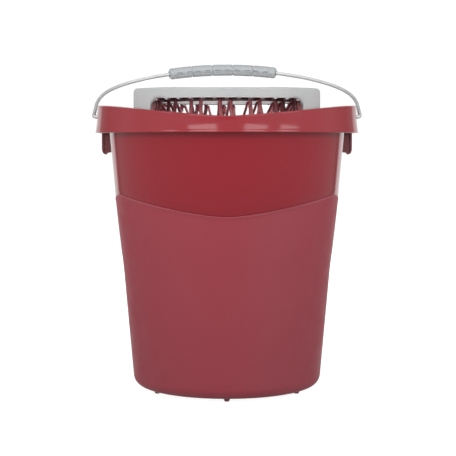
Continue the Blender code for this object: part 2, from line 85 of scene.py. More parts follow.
BEAD_ROWS = 6  # rows of faces at its top that carry a painted highlight, lighter towards the sides
GROOVE_WIDTH = 0.9 * MM  # of the fine groove above that edge
COLLAR_EDGE = DIP_HEIGHT - 16.4 * MM
COLLAR_OVERHANG = 11.1 * MM
COLLAR_FLARE = 2.6 * MM
COLLAR_WALL = 2.2 * MM
COLLAR_CURVE = 1.7  # above 1 the collar's face is hollow and turns out towards its lip
LIP_HEIGHT = 2.6 * MM
LIP_FLARE = 0.5 * MM
LIP_ROUND = 0.7 * MM
RIM_THICKNESS = 2.4 * MM
RIM_ROUND = 1.6 * MM
RECESS_RADIUS = 64.0 * MM  # shallow recess under the floor
RECESS_DEPTH = 0.9 * MM
GATE_RADIUS = 2.6 * MM
FOOT_COUNT = 6
FOOT_RADIUS = 4.4 * MM
FOOT_TIP_RADIUS = 2.8 * MM
FOOT_INSET = 15.6 * MM
LUG_HALF_WIDTH = 8.6 * MM
LUG_TIP = COLLAR_EDGE - 23.5 * MM
LUG_INSET = 7.0 * MM
LUG_PLATE = 2.8 * MM
LUG_WEB = 15.6 * MM
SEAT_TOP = DIP_HEIGHT - 38.4 * MM
SEAT_REACH = 10.0 * MM
SEAT_WIDTH = 17.0 * MM
SEAT_HEIGHT = 12.0 * MM
COLUMNS = 256

# Bail and grip
WIRE_RADIUS = 2.0 * MM
WIRE_SIDES = 20
PIVOT_HEIGHT = HIGH_RIM - 12.1 * MM
PIVOT_DEPTH = 9.0 * MM
BAIL_CLEARANCE = 0.7 * MM
ELBOW_RADIUS = 4.0 * MM
ARM_LENGTH = 33.5 * MM
CORNER_RADIUS = 90.0 * MM
CROWN_RADIUS = 171.0 * MM
LEFT_FULLNESS = 1.6 * MM  # how far the bent wire stands out of its plain arcs, at its corners
RIGHT_FULLNESS = 1.1 * MM
CORNER_ONSET = (3, 30)  # angles of the corner's arc between which it sets in
CORNER_FADE = 8  # angle of the crown's arc over which it passes off
SHOULDER_FULLNESS = 1.0 * MM  # the same beside the grip's way,
SHOULDER_END = 66  # up to this angle of the crown's arc
SHOULDER_FADE = 9
REST_LEAN = radians(23.5)
GRIP_SEGMENTS = 5
GRIP_PITCH = 24.4 * MM
GRIP_RADIUS = 6.72 * MM
GROOVE_DEPTH = 0.9 * MM
GROOVE_HALF = 1.1 * MM
GRIP_CAP_GROOVE = 0.5 * MM
GRIP_CAP = 6.8 * MM  # of each rounded end, past the last groove
GRIP_CAP_ROUND = 3.2 * MM
GRIP_LENGTH = 129.4 * MM
GRIP_BORE = WIRE_RADIUS + 0.6 * MM
GRIP_SHIFT = 5.4 * MM
GRIP_SAMPLES = 21  # points round the outer face of a half
GRIP_BORE_SAMPLES = 11
GRIP_COLUMNS = 261
GRIP_EDGE = 0.35 * MM
TONGUE_WIDTH = 6.4 * MM  # of the lower half's tongues, which reach into the upper half
TONGUE_HEIGHT = 2.7 * MM
TONGUE_EDGE = 1.2 * MM
TONGUE_ROWS = 3  # rows of faces along the seam that a tongue takes up, which carry a painted shadow
LOWER_HALF_RECESS = 0.28 * MM
SEAM_GAP = 0.3 * MM

# Wringer
FRAME_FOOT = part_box("wringer_frame")[0].z
FRAME_HALF_WIDTH, FRAME_RADIUS, FRAME_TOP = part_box("wringer_frame")[1]
FRAME_SIDE = FRAME_HALF_WIDTH - 1.4 * MM
CAP_TOP = FRAME_TOP - 0.7 * MM
FRAME_CORNER = 8.0 * MM
FRAME_WALL = 3.0 * MM
FRAME_PLATE = 4.0 * MM
FRAME_ROUND = 1.6 * MM
SIDE_ROUND = 4.0 * MM  # of the cap's upper edge at its short sides,
SIDE_ROUND_SPAN = (FRAME_SIDE - 14 * MM, FRAME_SIDE - 3 * MM)  # growing over these places
CAP_RISE_SPAN = (25 * MM, 60 * MM)  # the cap's top rises between these places
WINDOW_TOP = FRAME_TOP - 11.0 * MM
WINDOW_ROUND = 9.9 * MM
WINDOW_HALF = FRAME_HALF_WIDTH - 21.0 * MM
SIDE_WINDOW_HALF = sqrt(FRAME_RADIUS**2 - FRAME_HALF_WIDTH**2) - 21.0 * MM
WINDOW_STEP = 1.8 * MM  # between the places where the cap is sampled
LEAST_STEP = 0.3 * MM
EDGE_CURL = 0.5 * MM  # rounding of the windows' upper edges
LEG_CURL = 4.6 * MM  # rounding of the legs' edges and of the windows' corners
LEG_EDGE = 1.8 * MM  # thickness of the curled edge
MOUTH_RADIUS = FRAME_HALF_WIDTH - 26.0 * MM
THROAT_WALL = 2.5 * MM
THROAT_EDGE = FRAME_TOP - 13.0 * MM
RIB_PITCH = 12.2 * MM
RIB_THICKNESS = 4.2 * MM
RIB_SLOPE = 1.5 * MM  # how much deeper the ribs are beside the ring
RIB_COUNT = 13
RIB_PLACES = [(i - (RIB_COUNT - 1) / 2) * RIB_PITCH for i in range(RIB_COUNT)]
RIB_TIP = 0.5 * MM  # the ribs' ends hang below the skirt's edge, more so away from the middle
RIB_TIP_GROWTH = 1.7 * MM
RIB_TIP_INNER = 1.5 * MM  # width of such a tip towards the middle and away from it
RIB_TIP_OUTER = 3.0 * MM
RIB_TIP_LENGTH = 9.0 * MM
RING_RADIUS, _, RING_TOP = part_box("basket_ring")[1]
FINGER_RADIUS = 1.7 * MM
FINGER_TOP_RADIUS = 2.1 * MM  # half the outer struts' width at the top
FINGER_INNER_RADIUS = 1.25 * MM  # and half the inner struts'
FINGER_THICKNESS = 1.6 * MM
FINGER_ROOT_TOP = FRAME_TOP - 7.6 * MM  # the struts' roots stand on the ring's outer face
FINGER_BEND = 2.4 * MM
FINGER_PAIRS = 16
FINGER_SIDES = 14  # of a strut's section
PAIR_GAP = 0.8 * MM
PATTERN_TURN = radians(-1.8)
CONE_ANGLE = radians(30.0)
OUTER_BOW = 20.0 * MM
CUP_RADIUS = 31.0 * MM
FINGER_LEAN = 2.6 * MM  # how far the struts of a finger bow aside, in opposite ways
FINGER_OPEN = 0.4  # share of it that the bend at the top has already
LEAN_DEPTH = 14 * MM  # the whole of it is reached this far below the bend
SEAT_GAP = 0.3 * MM

SMOOTH_ANGLE = radians(32)
MERGE_DISTANCE = 0.001 * MM

# Plastic and steel, mostly the scales of the noises in their materials
NOISE_SPAN = (0.3, 0.7)  # most of what a noise gives lies in it
CLOUDING = 9.0
FADE_WAVER = 0.03  # metres by which the clouding shifts a fade
PLASTIC_GLOSS = 55.0
PLASTIC_RIPPLE = 42.0
RIPPLE_DEPTH = 0.3 * MM
PLASTIC_GRAIN = 2600.0
GRAIN_DEPTH = 0.05 * MM
STEEL_METALLIC = 0.45
STEEL_CLOUDING = 60.0
STEEL_GLOSS = 300.0
STEEL_DRAWING = 900.0
DRAWING_DEPTH = 0.04 * MM

# Studio: its brightness by direction, as (share of the way, level) steps
WORLD_DEPTH = (  # from behind the camera to the far side
    (0.0, 0.45), (0.50, 0.60), (0.75, 0.50), (0.84, 0.42),
    (0.888, 0.18), (0.905, 0.18), (0.918, 1.12), (1.0, 1.12),
)
WORLD_SHADE = ((0.0, 1.0), (0.47, 1.0), (0.53, 0.75), (1.0, 0.75))  # dims that, from below up
WORLD_HEIGHT = (  # from below up
    (0.0, 0.55), (0.22, 0.50), (0.38, 0.0), (0.495, 0.0),
    (0.52, 0.98), (0.57, 0.95), (0.8, 0.85), (1.0, 1.3),
)
WORLD_GAP = (  # dims that round the camera and at the far side
    (0.0, 0.35), (0.006, 0.35), (0.012, 1.0), (0.56, 1.0), (0.70, 0.6), (0.8, 0.35), (1.0, 0.35),
)
WORLD_GLOSS = 1.0  # share of it that shows in gloss
WORLD_FILL = 0.55  # share of it that lights matte surfaces
WHITE = (1, 1, 1, 1)
WORLD_SEEN = 1.05  # level of the plain white that the camera sees
FLOOR_SIZE = 30.0
FLOOR_DROP = 0.2 * MM
FLOOR_GREY = (0.30, 0.30, 0.30, 1)
FLOOR_ROUGHNESS = 0.9
FLOOR_GLOW = 0.92

# Soft boxes that light matte surfaces: azimuth and power
BOXES = (("left_box", -47, 16.4), ("right_box", 47, 15.5), ("back_box", 180, 14.0))
BOX_LEVEL = 1.67  # level distance from the axis
BOX_AIM = 0.2  # height that they look at
BOX_LIFT = 0.30  # how far they hang above it
BOX_SIZE = (1.3, 0.7)
# Panels that only show in gloss: azimuths of their edges, the foot's elevation, height, radiance
GLOSS_PANELS = (
    ("left_panel", -33.0, -8.6, 20.5, 1.5, 3.35),
    ("far_left_panel", -59.0, -47.0, 21.5, 1.2, 2.8),
    ("right_panel", 15.0, 35.0, 20.0, 1.5, 3.12),
    ("far_right_panel", 46.5, 64.0, 17.0, 1.5, 3.0),
)
GLOSS_LEVEL = 2.2


def wall_radius(height):
    """Outer radius of the plain wall, without the proud panel."""
    zones = (
        (FOOT_HEIGHT, KNEE_HEIGHT, LOWER_DRAFT),
        (KNEE_HEIGHT, SHOULDER_HEIGHT, FLARE_DRAFT),
        (SHOULDER_HEIGHT, HIGH_RIM, UPPER_DRAFT),
    )
    radius = BASE_RADIUS
    for low, high, draft in zones:
        radius += (min(max(height, low), high) - low) * tan(draft)
    return radius


COLLAR_TOP_RADIUS = wall_radius(HIGH_RIM) + COLLAR_OVERHANG
COLLAR_LOW_RADIUS = COLLAR_TOP_RADIUS + COLLAR_FLARE
BAIL_HALF_WIDTH = COLLAR_LOW_RADIUS + BAIL_CLEARANCE + WIRE_RADIUS
CROWN_HALF_ANGLE = asin((BAIL_HALF_WIDTH - CORNER_RADIUS) / (CROWN_RADIUS - CORNER_RADIUS))
CROWN_CENTRE = ARM_LENGTH - (CROWN_RADIUS - CORNER_RADIUS) * cos(CROWN_HALF_ANGLE)
THROAT_RADIUS = MOUTH_RADIUS + THROAT_WALL
PAIR_HALF_ANGLE = asin((FINGER_RADIUS + PAIR_GAP / 2) / CUP_RADIUS)


# Small helpers for shapes


def smooth_step(value, start, end):
    share = min(max((value - start) / (end - start), 0.0), 1.0)
    return share * share * (3 - 2 * share)


def blend(first, second, share):
    return first + (second - first) * share


def spread(start, end, count):
    """count values from start to end."""
    return [start + (end - start) * i / (count - 1) for i in range(count)]


def turns(count):
    """Evenly spread angles of a full turn."""
    return [2 * pi * i / count for i in range(count)]


def at_angle(centre, radius, angle):
    """Point of a circle in a plane, at an angle in degrees."""
    turn = radians(angle)
    return (centre[0] + radius * cos(turn), centre[1] + radius * sin(turn))


def arc(centre, radius, start, end, steps):
    """Points of an arc in a plane, from one angle to another, in degrees."""
    return [at_angle(centre, radius, angle) for angle in spread(start, end, steps + 1)]


def round_about(radius, azimuth, height):
    return (radius * sin(azimuth), -radius * cos(azimuth), height)


def add_loft(bm, columns, around=False, section_closed=True):
    """Adds faces between neighbouring columns of points, and returns them as one list per strip.

    Columns that don't run around to the first one again are capped at both ends.
    """
    grid = [[bm.verts.new(point) for point in column] for column in columns]
    strips = []
    neighbours = grid[1:] + grid[:1] if around else grid[1:]
    for here, there in zip(grid, neighbours):
        next_here = here[1:] + here[:1] if section_closed else here[1:]
        next_there = there[1:] + there[:1] if section_closed else there[1:]
        corners = zip(here, there, next_there, next_here)
        strips.append([bm.faces.new(quad) for quad in corners])
    if not around:
        bm.faces.new(grid[0])
        bm.faces.new(grid[-1])
    return strips


def finish_mesh(name, bm, materials, merge=False):
    if merge:
        bmesh.ops.remove_doubles(bm, verts=bm.verts, dist=MERGE_DISTANCE)
    bmesh.ops.recalc_face_normals(bm, faces=bm.faces)
    mesh = bpy.data.meshes.new(name)
    bm.to_mesh(mesh)
    bm.free()
    mesh.shade_smooth()
    mesh.set_sharp_from_angle(angle=SMOOTH_ANGLE)
    for material in materials:
        mesh.materials.append(material)
    return mesh


def add_object(name, data):
    thing = bpy.data.objects.new(name, data)
    bpy.context.scene.collection.objects.link(thing)
    return thing


def place_piece(name, mesh, body, node, azimuth=0.0):
    piece = add_object(name, mesh)
    piece.rotation_euler.z = azimuth
    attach(piece, body)
    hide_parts(node)
    return piece


def add_piece(name, bm, materials, body, node, merge=False):
    return place_piece(name, finish_mesh(name, bm, materials, merge), body, node)


def add_turned(bm, profile, steps, centre=(0, 0), section_closed=True):
    """Adds a ring turned from (radius, height) points round an upright axis."""
    columns = []
    for azimuth in turns(steps):
        points = [round_about(radius, azimuth, height) for radius, height in profile]
        columns.append([(x + centre[0], y + centre[1], z) for x, y, z in points])
    add_loft(bm, columns, around=True, section_closed=section_closed)


def add_tube(bm, route, across, half_widths, half_height, sides):
    """Adds a tube along a route, with its width held along the direction across."""
    rings = []
    for i, (point, half_width) in enumerate(zip(route, half_widths)):
        before = route[max(i - 1, 0)]
        after = route[min(i + 1, len(route) - 1)]
        along = (after - before).normalized()
        side = (across - along * across.dot(along)).normalized()
        up = along.cross(side)
        ring = []
        for turn in turns(sides):
            out = side * half_width * cos(turn) + up * half_height * sin(turn)
            ring.append(point + out)
        rings.append(ring)
    add_loft(bm, rings)


# Materials


class Nodes:
    """The node tree of a material or a world."""

    def __init__(self, owner):
        owner.use_nodes = True
        self.tree = owner.node_tree

    def add(self, kind, inputs=None, **settings):
        node = self.tree.nodes.new(kind)
        for name, value in settings.items():
            setattr(node, name, value)
        self.feed(node, inputs or {})
        return node

    def feed(self, node, inputs):
        """Gives each input its plain value, or a link from an output."""
        for name, value in inputs.items():
            if isinstance(value, bpy.types.NodeSocket):
                self.tree.links.new(value, node.inputs[name])
            else:
                node.inputs[name].default_value = value

    def ramp(self, value, stops):
        """Colour that follows a value through (place, colour) stops."""
        node = self.add("ShaderNodeValToRGB", {"Fac": value})
        elements = node.color_ramp.elements
        elements[0].position, elements[1].position = stops[0][0], stops[-1][0]
        for place, _ in stops[1:-1]:
            elements.new(place)
        for element, (_, colour) in zip(elements, stops):
            element.color = (*colour, 1)
        return node.outputs["Color"]


class Shader(Nodes):
    """A material's nodes, with short ways to shape its look."""

    def __init__(self, name):
        self.material = bpy.data.materials.new(name)
        super().__init__(self.material)
        self.surface = self.tree.nodes["Principled BSDF"]
        self.place = self.add("ShaderNodeTexCoord").outputs["Object"]

    def noise(self, scale, detail=3.0, stretch=None):
        place = self.place
        if stretch:
            inputs = {"Scale": stretch, "Vector": place}
            place = self.add("ShaderNodeMapping", inputs).outputs["Vector"]
        inputs = {"Scale": scale, "Detail": detail, "Vector": place}
        return self.add("ShaderNodeTexNoise", inputs).outputs["Fac"]

    def roughen(self, scale, low, high):
        """Lets the roughness vary with a noise."""
        start, end = NOISE_SPAN
        inputs = {"From Min": start, "From Max": end, "To Min": low, "To Max": high}
        inputs["Value"] = self.noise(scale)
        result = self.add("ShaderNodeMapRange", inputs).outputs["Result"]
        self.feed(self.surface, {"Roughness": result})

    def distance(self, axis):
        """Distance from the origin along an axis, wavering with a noise."""
        parts = self.add("ShaderNodeSeparateXYZ", {"Vector": self.place})
        plain = self.add("ShaderNodeMath", {0: parts.outputs[axis]}, operation="ABSOLUTE")
        inputs = {0: self.noise(CLOUDING), 1: FADE_WAVER, 2: plain.outputs["Value"]}
        return self.add("ShaderNodeMath", inputs, operation="MULTIPLY_ADD").outputs["Value"]

    def tint(self, value, first, second, span=NOISE_SPAN):
        """Lets the colour pass from first to second while a value passes through a span."""
        stops = list(zip(span, (first, second)))
        self.feed(self.surface, {"Base Color": self.ramp(value, stops)})

    def bumps(self, layers):
        """Stacks (height, strength, depth) layers into the shader's normal."""
        below = {}
        for height, strength, depth in layers:
            inputs = {"Strength": strength, "Distance": depth, "Height": height, **below}
            below = {"Normal": self.add("ShaderNodeBump", inputs).outputs["Normal"]}
        self.feed(self.surface, below)


def shaded(colour, factor):
    return tuple(channel * factor for channel in colour)


def moulded_plastic(
    name, colour, roughness, ripple, grain, variation=0.03, specular=0.5, fade=None
):
    """Injection-moulded plastic: faint clouding, uneven gloss, slow ripples and a fine grain.

    A fade takes the clouding's place: an axis, two distances along it, the colour at the second.
    It paints light and shade into the colour as a gradient along that axis.
    """
    shader = Shader(name)
    shader.feed(shader.surface, {"Specular IOR Level": specular})
    if fade:
        axis, start, end, end_colour = fade
        shader.tint(shader.distance(axis), colour, end_colour, (start, end))
    else:
        dark, light = shaded(colour, 1 - variation), shaded(colour, 1 + variation)
        shader.tint(shader.noise(CLOUDING), dark, light)
    shader.roughen(PLASTIC_GLOSS, roughness * 0.88, roughness * 1.12)
    shader.bumps([
        (shader.noise(PLASTIC_RIPPLE, 1.0), ripple, RIPPLE_DEPTH),
        (shader.noise(PLASTIC_GRAIN, 1.0), grain, GRAIN_DEPTH),
    ])
    return shader.material


def drawn_steel(name, colour, roughness):
    """Plated wire with faint draw marks and uneven gloss."""
    shader = Shader(name)
    shader.feed(shader.surface, {"Metallic": STEEL_METALLIC})
    shader.tint(shader.noise(STEEL_CLOUDING), shaded(colour, 0.93), shaded(colour, 1.05))
    shader.roughen(STEEL_GLOSS, roughness * 0.8, roughness * 1.25)
    marks = shader.noise(STEEL_DRAWING, 2.0, stretch=(0.2, 1.0, 1.0))
    shader.bumps([(marks, 0.25, DRAWING_DEPTH)])
    return shader.material


# Painted light: the fade makes the red lighter towards the top of the wall and the collar, where
# light falls from above.
bucket_gloss = moulded_plastic(
    "bucket_gloss", (0.250, 0.0132, 0.0222), 0.11, 0.05, 0.02,
    fade=("Z", 0.205, 0.285, (0.300, 0.0140, 0.0240)),
)
# Painted light and shade: the fade makes the panel's red darker towards the bottom and lighter
# towards the top.
bucket_matte = moulded_plastic(
    "bucket_matte", (0.240, 0.0302, 0.0442), 0.52, 0.03, 0.22,
    fade=("Z", 0.035, 0.215, (0.293, 0.0352, 0.0522)),
)
# Painted highlight: the bead's top rows turn lighter towards the sides, where the rolled edge
# catches light.
bead_painted_highlight = moulded_plastic(
    "bead_painted_highlight", (0.245, 0.0270, 0.0420), 0.50, 0.03, 0.22,
    fade=("X", 0.075, 0.120, (0.330, 0.0640, 0.0810)),
)
# Painted shade: a darker, greyer copy of the bucket's red, for the lugs under the collar and for
# the feet.
painted_shade_red = moulded_plastic("painted_shade_red", (0.175, 0.048, 0.054), 0.3, 0.05, 0.05, 0.04)
finger_red = moulded_plastic("finger_red", (0.47, 0.125, 0.145), 0.36, 0.05, 0.05, 0.06, 0.9)
wringer_grey = moulded_plastic("wringer_grey", (0.480, 0.495, 0.497), 0.46, 0.03, 0.16, 0.025)
# Painted light: a lighter copy of the cap's grey for the ribs, which lie in shade under the cap.
rib_painted_light = moulded_plastic("rib_painted_light", (0.840, 0.880, 0.885), 0.46, 0.03, 0.16, 0.025)
# Painted light: a lighter copy of the cap's grey for the throat's inner face, which lies in shade.
throat_painted_light = moulded_plastic("throat_painted_light", (0.700, 0.690, 0.680), 0.46, 0.03, 0.16, 0.025)
grip_grey = moulded_plastic("grip_grey", (0.43, 0.45, 0.465), 0.48, 0.03, 0.2)
# Painted light: the lower half is a lighter grey than the upper, where it faces down into shade.
grip_lower_painted_light = moulded_plastic("grip_lower_painted_light", (0.50, 0.52, 0.535), 0.52, 0.03, 0.26)
# Painted shadow: a darker grey for the tongues' rows along the seam, where the recess is in shade.
grip_tongue_painted_shadow = moulded_plastic("grip_tongue_painted_shadow", (0.385, 0.400, 0.410), 0.52, 0.03, 0.26)
bail_steel = drawn_steel("bail_steel", (0.62, 0.63, 0.63), 0.42)


# Bucket


def wave(azimuth, power, softness=0.0):
    """0 at the front and rear, 1 at the sides. Softness rounds the lowest point."""
    least = softness**power
    value = hypot(sin(azimuth), softness) ** power
    return (value - least) / (hypot(1.0, softness) ** power - least)


def panel_edge(azimuth):
    """Height of the panel's upper edge."""
    from_front = degrees(asin(min(abs(sin(azimuth)), 1.0)))
    drop = PANEL_SIDE_DROP * smooth_step(from_front, *PANEL_DROP_SPAN)
    return PANEL_DIP + PANEL_RISE * wave(azimuth, PANEL_WAVE, PANEL_SOFTNESS) - drop


def base_corner(inset, floor_height, steps):
    """The rounded corner between the floor and the wall, on a skin set in by inset."""
    radius = BASE_ROUND - inset
    edge = wall_radius(FOOT_HEIGHT + BASE_ROUND) - inset / cos(LOWER_DRAFT)
    centre = (edge - radius / cos(LOWER_DRAFT), floor_height + radius)
    return arc(centre, radius, -90, -degrees(LOWER_DRAFT), steps)


def underside():
    """The floor's lower face with its shallow recess and the gate's spot."""
    ceiling = FOOT_HEIGHT + RECESS_DEPTH
    return [
        (0, ceiling - 0.35 * MM), (GATE_RADIUS * 0.7, ceiling - 0.3 * MM), (GATE_RADIUS, ceiling),
        (RECESS_RADIUS * 0.5, ceiling), (RECESS_RADIUS - 1.2 * MM, ceiling),
        (RECESS_RADIUS - 0.5 * MM, ceiling - 0.15 * MM), (RECESS_RADIUS, FOOT_HEIGHT + 0.15 * MM),
        (RECESS_RADIUS + 0.7 * MM, FOOT_HEIGHT),
    ]


def lower_panel(panel):
    """The wall below the panel's edge, with the rolled bead along that edge."""
    start = FOOT_HEIGHT + BASE_ROUND + 1.5 * MM
    points = []
    for height in spread(start, panel - BEAD_HEIGHT, 26):
        proud = PANEL_PROUD * smooth_step(height, KNEE_HEIGHT, KNEE_HEIGHT + PANEL_GROW)
        points.append((wall_radius(height) + proud, height))
    for share in (0.2, 0.4, 0.55, 0.68, 0.8, 0.89, 0.96, 1.0):
        height = panel - BEAD_HEIGHT * (1 - share)
        swell = sin(pi * min(share, 0.8) / 1.6)
        proud = blend(PANEL_PROUD, BEAD_PROUD, swell**2)
        drop = max(share - 0.5, 0.0) / 0.5
        proud *= sqrt(max(1 - (0.97 * drop) ** 2, 0.0))
        points.append((wall_radius(height) + proud, height))
    return points


def collar(rim):
    """Under the rim, down the collar's inner face, round its lip and up its outer face."""
    ceiling = rim - RIM_THICKNESS
    fillet = 1.0 * MM
    inner_top = COLLAR_TOP_RADIUS - COLLAR_WALL
    lip_in = COLLAR_LOW_RADIUS - COLLAR_WALL
    lip_start = COLLAR_LOW_RADIUS - LIP_FLARE
    face = COLLAR_EDGE + LIP_HEIGHT
    points = [
        (wall_radius(ceiling) + fillet, ceiling), (inner_top - fillet, ceiling),
        (inner_top - 0.3 * fillet, ceiling - 0.3 * fillet), (inner_top, ceiling - fillet),
        (lip_in - LIP_FLARE, face), (lip_in, COLLAR_EDGE + LIP_ROUND),
    ]
    points += arc((lip_in + LIP_ROUND, COLLAR_EDGE + LIP_ROUND), LIP_ROUND, 180, 270, 3)
    points += arc((COLLAR_LOW_RADIUS - LIP_ROUND, COLLAR_EDGE + LIP_ROUND), LIP_ROUND, -90, 20, 5)
    for share in (0.2, 0.4, 0.6, 0.8, 1.0):
        height = COLLAR_EDGE + LIP_ROUND * 2 + (LIP_HEIGHT - LIP_ROUND * 2) * share
        points.append((lip_start + LIP_FLARE * (1 - share) ** 2 * 0.9, height))
    top = rim - RIM_ROUND
    for share in spread(0.1, 0.9, 9):
        flare = (lip_start - COLLAR_TOP_RADIUS) * (1 - share) ** COLLAR_CURVE
        points.append((COLLAR_TOP_RADIUS + flare, blend(face, top, share)))
    points += arc((COLLAR_TOP_RADIUS - RIM_ROUND, top), RIM_ROUND, 0, 90, 6)
    return points


def bucket_section(azimuth):
    """(radius, height) points from the middle of the underside over the rim to the floor inside.

    The second result is how many of them belong to the underside and the panel.
    """
    rim = DIP_HEIGHT + RIM_RISE * wave(azimuth, RIM_WAVE)
    panel = panel_edge(azimuth)
    ceiling = rim - RIM_THICKNESS
    section = underside() + base_corner(0, FOOT_HEIGHT, 12) + lower_panel(panel)
    panel_end = len(section)
    heights = [panel + GROOVE_WIDTH * share for share in (0.15, 0.35, 0.6, 0.85)]
    heights += spread(panel + GROOVE_WIDTH, ceiling - 1.0 * MM, 16)
    for height in heights:
        proud = PANEL_PROUD * smooth_step(height, panel + 0.2 * MM, panel + GROOVE_WIDTH)
        section.append((wall_radius(height) + proud, height))
    section += collar(rim)
    inner_rim = wall_radius(rim) - WALL
    section += arc((inner_rim + RIM_ROUND, rim - RIM_ROUND), RIM_ROUND, 90, 180, 6)
    for height in spread(rim - 3 * MM, FOOT_HEIGHT + BASE_ROUND + 2 * MM, 20):
        section.append((wall_radius(height) - WALL, height))
    section += base_corner(WALL, FOOT_HEIGHT + FLOOR, 8)[::-1]
    section += [(GATE_RADIUS * 8, FOOT_HEIGHT + FLOOR), (0, FOOT_HEIGHT + FLOOR)]
    return section, panel_end


def build_bucket():
    bm = bmesh.new()
    columns = []
    for azimuth in turns(COLUMNS):
        section, panel_end = bucket_section(azimuth)
        columns.append([round_about(radius, azimuth, height) for radius, height in section])
    for strip in add_loft(bm, columns, around=True, section_closed=False):
        for row, face in enumerate(strip):
            # The panel's rows take the matte red; the bead's top rows take the painted highlight.
            if row < panel_end - 1:
                face.material_index = 2 if row >= panel_end - BEAD_ROWS else 1
    materials = [bucket_gloss, bucket_matte, bead_painted_highlight]
    add_piece("bucket_body", bm, materials, "bucket", "bucket_shell", merge=True)


def lug_tongue(side):
    """The lug's outer plate as rings from the collar down to its rounded, turned-in tip."""
    outer = COLLAR_LOW_RADIUS - LUG_INSET
    top = COLLAR_EDGE + 9 * MM
    turn_in = 7.5 * MM
    corner = 0.7 * MM
    rings = []
    heights = [top, COLLAR_EDGE, COLLAR_EDGE - 8 * MM]
    heights += [LUG_TIP + turn_in * cos(radians(a)) for a in spread(0, 86, 12)]
    for height in heights:
        low = min(max((LUG_TIP + turn_in - height) / turn_in, 0.0), 1.0)
        face = outer - 3.8 * MM * (1 - sqrt(max(1 - low**2.2, 0.0)))
        back = outer - LUG_PLATE - 1.6 * MM * low**2
        half = LUG_HALF_WIDTH - 5.0 * MM * (1 - sqrt(max(1 - low**2.6, 0.0)))
        ring = [
            (face, -half + corner), (face, half - corner),
            (face - corner, half), (back + corner, half),
            (back, half - corner), (back, -half + corner),
            (back + corner, -half), (face - corner, -half),
        ]
        rings.append([(side * x, side * y, height) for x, y in ring])
    return rings


def lug_web(side):
    """The plate between the tongue and the wall, as slices across its thickness."""
    outer = COLLAR_LOW_RADIUS - LUG_INSET - LUG_PLATE / 2
    foot = LUG_TIP + 2.8 * MM
    top = COLLAR_EDGE + 8 * MM
    outline = [
        (outer, top), (outer, LUG_TIP + 6 * MM), (outer - 1.7 * MM, LUG_TIP + 0.8 * MM),
        (outer - 2.5 * MM, LUG_TIP), (outer - 3.4 * MM, LUG_TIP + 0.4 * MM),
        (outer - 5 * MM, foot - 0.7 * MM),
        (wall_radius(foot) - WALL / 2, foot), (wall_radius(top) - WALL / 2, top),
    ]
    slices = []
    for across, shrink in ((-1, 0.4 * MM), (-0.75, 0), (0.75, 0), (1, 0.4 * MM)):
        y = across * LUG_WEB / 2
        slices.append([(side * x, side * y, z + (shrink if z < top else 0)) for x, z in outline])
    return slices


def lug_block(side):
    """The block inside the collar that the wire's end turns in, as two rings from end to end."""
    start = wall_radius(PIVOT_HEIGHT) - WALL / 2
    end = COLLAR_TOP_RADIUS - COLLAR_WALL / 2
    low = COLLAR_EDGE + 7 * MM
    high = HIGH_RIM - RIM_THICKNESS / 2
    half = LUG_HALF_WIDTH * 0.7
    block = [(half, low), (half, high), (-half, high), (-half, low)]
    return [[(side * x, side * y, z) for y, z in block] for x in (start, end)]


def build_lugs():
    for side, name in ((1, "right"), (-1, "left")):
        bm = bmesh.new()
        for shape in (lug_tongue, lug_web, lug_block):
            add_loft(bm, shape(side))
        # The lugs take the painted-shade red.
        lug = add_piece(f"bail_lug_{name}", bm, [painted_shade_red], "bucket", "bucket_shell")
        lug.visible_glossy = False


def build_feet():
    bm = bmesh.new()
    top = FOOT_HEIGHT + 0.6 * MM
    round_tip = 1.1 * MM
    profile = [(0, 0), (FOOT_TIP_RADIUS - round_tip, 0)]
    profile += arc((FOOT_TIP_RADIUS - round_tip, round_tip), round_tip, -75, -8, 4)
    profile += [(FOOT_RADIUS - 0.7 * MM, top - 1.0 * MM), (FOOT_RADIUS, top), (0, top)]
    for azimuth in turns(FOOT_COUNT):
        centre = round_about(BASE_RADIUS - FOOT_INSET, azimuth, 0)
        add_turned(bm, profile, 24, centre, section_closed=False)
    # The feet take the painted-shade red, a painted contact shadow.
    add_piece("bucket_feet", bm, [painted_shade_red], "bucket", "bucket_shell", merge=True)


def seat_azimuths():
    """The middles of the wringer's four legs, where the seats stand."""
    window = asin(WINDOW_HALF / FRAME_RADIUS)
    corner = asin(FRAME_HALF_WIDTH / FRAME_RADIUS)
    middle = (window + corner) / 2
    return (middle, pi - middle, pi + middle, -middle)


def build_seats():
    """Ledges on the inside of the wall, each with a sloping underside."""
    bm = bmesh.new()
    corner = 1.2 * MM
    low = SEAT_TOP - SEAT_HEIGHT
    wall = wall_radius(low) - WALL / 2
    front = wall_radius(low) - WALL - SEAT_REACH
    outline = [(wall, SEAT_TOP), (front + corner, SEAT_TOP), (front, SEAT_TOP - corner)]
    outline += [(front, SEAT_TOP - 4 * MM), (wall, low - 6 * MM)]
    for azimuth in seat_azimuths():
        turn = Matrix.Rotation(azimuth, 4, "Z")
        slices = []
        for across, shrink in ((-0.5, corner), (-0.43, 0), (0.43, 0), (0.5, corner)):
            reaches = [(r + shrink if r < wall else r, z) for r, z in outline]
            slices.append([turn @ Vector((across * SEAT_WIDTH, -r, z)) for r, z in reaches])
        add_loft(bm, slices)
    add_piece("wringer_seats", bm, [bucket_gloss], "bucket", "bucket_shell")


# Bail and grip, in the bail's own plane: X across, Y from the pivot to the grip

bail_plane = Matrix.Translation((0, 0, PIVOT_HEIGHT)) @ Matrix.Rotation(REST_LEAN, 4, "X")


